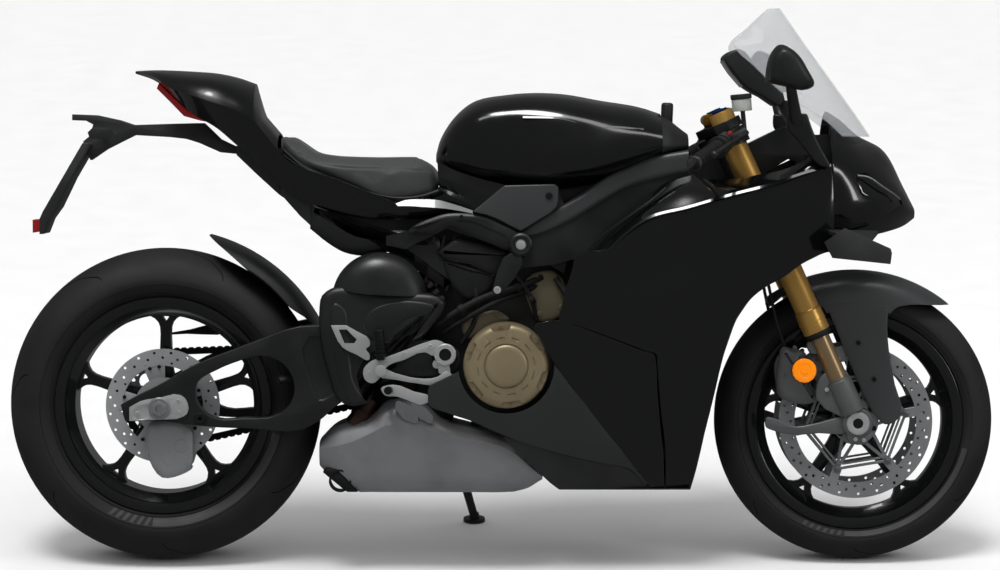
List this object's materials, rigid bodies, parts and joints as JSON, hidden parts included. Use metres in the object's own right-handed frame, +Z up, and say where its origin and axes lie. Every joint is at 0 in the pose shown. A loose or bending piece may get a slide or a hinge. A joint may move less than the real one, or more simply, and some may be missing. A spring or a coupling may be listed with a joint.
{
  "type": "sport motorcycle",
  "caption": "Fully faired sport motorcycle leaning on its side stand, with steering, rolling wheels and a folding stand.",
  "frame": {"origin": "middle of the footprint of the whole bike on the ground, as it leans on its side stand", "axes": "+X forward along the bike, +Y to the rider's left, +Z up from the ground"},
  "size_m": [2.1206, 0.7468, 1.1768],
  "materials": {
    "alloy": "machined",
    "amber_lens": "amber acrylic",
    "belly_grey": "gloss painted plastic",
    "bronze": "champagne bronze anodised look paint",
    "cast_grey": "painted casting",
    "clear": "clear acrylic",
    "fork_bronze": "nitride-coated steel, ground",
    "gloss_black": "gloss clear-coated paint on moulded plastic",
    "gold": "gold anodised",
    "lens": "clear polycarbonate",
    "matte_black": "fine-grained moulded plastic",
    "red_lens": "red acrylic",
    "rubber": "moulded rubber",
    "satin_black": "satin powder coat",
    "satin_grey": "satin paint",
    "screen_black": "glass-faced display",
    "seat_vinyl": "coated upholstery fabric",
    "silencer_grey": "satin heat-resistant paint",
    "steel": "ground steel",
    "tyre": "vulcanised rubber"
  },
  "bodies": {
    "chassis": {"main_frame": "satin_grey", "fairing_stay": "satin_black", "frame_covers": "satin_grey", "subframe": "satin_black", "engine_block": "cast_grey", "clutch_cover": "bronze", "alternator_cover": "bronze", "front_sprocket": "steel", "sprocket_cover": "matte_black", "swingarm": "satin_black", "stand_bosses": "steel", "swingarm_pivot": "steel", "rear_axle": "alloy", "rear_caliper": "cast_grey", "rear_shock": "gold", "chain": "steel", "hugger": "matte_black", "footrests": "alloy", "silencer": "silencer_grey", "exhaust_pipes": "steel", "heat_shield": "matte_black", "fuel_tank": "gloss_black", "airbox_cover": "matte_black", "seat": "seat_vinyl", "tail_cowl": "gloss_black", "tail_light": "red_lens", "plate_holder": "matte_black", "rear_reflector": "red_lens", "rear_indicators": "matte_black", "side_fairings": "gloss_black", "belly_fairings": "belly_grey", "nose_cowl": "gloss_black", "headlamps": "lens", "windscreen": "clear", "dash": "screen_black", "mirrors": "gloss_black", "winglets": "matte_black", "radiator": "alloy", "stand_bracket": "steel"},
    "steering": {"triple_clamps": "satin_grey", "fork_tubes": "gold", "fork_legs": "fork_bronze", "front_axle": "alloy", "front_calipers": "cast_grey", "front_mudguard": "gloss_black", "handlebars": "satin_black", "grips": "rubber", "hand_controls": "matte_black", "levers": "satin_black", "steering_damper": "gold", "brake_hoses": "rubber", "front_reflectors": "amber_lens"},
    "front_wheel": {"front_tyre": "tyre", "front_rim": "satin_black", "front_discs": "steel"},
    "rear_wheel": {"rear_tyre": "tyre", "rear_rim": "satin_black", "rear_disc": "steel", "rear_sprocket": "steel"},
    "side_stand": {"side_stand": "satin_black"}
  },
  "joints": [
    {"name": "steering", "type": "hinge", "parent": "chassis", "child": "steering", "pos_m": [0.49059, -0.02701, 0.8159], "axis": [-0.4067, 0.1586, 0.8997], "range_deg": [-24, 24]},
    {"name": "front_wheel_spin", "type": "hinge", "parent": "steering", "child": "front_wheel", "pos_m": [0.76025, -0.1183, 0.29811], "axis": [0, 0.9848, -0.1736], "continuous": true},
    {"name": "rear_wheel_spin", "type": "hinge", "parent": "chassis", "child": "rear_wheel", "pos_m": [-0.72475, -0.11214, 0.33308], "axis": [0, 0.9848, -0.1736], "continuous": true},
    {"name": "side_stand_swing", "type": "hinge", "parent": "chassis", "child": "side_stand", "pos_m": [-0.13275, 0.05884, 0.28922], "axis": [0.0247, 0.9799, 0.198], "range_deg": [0, 93]}
  ]
}
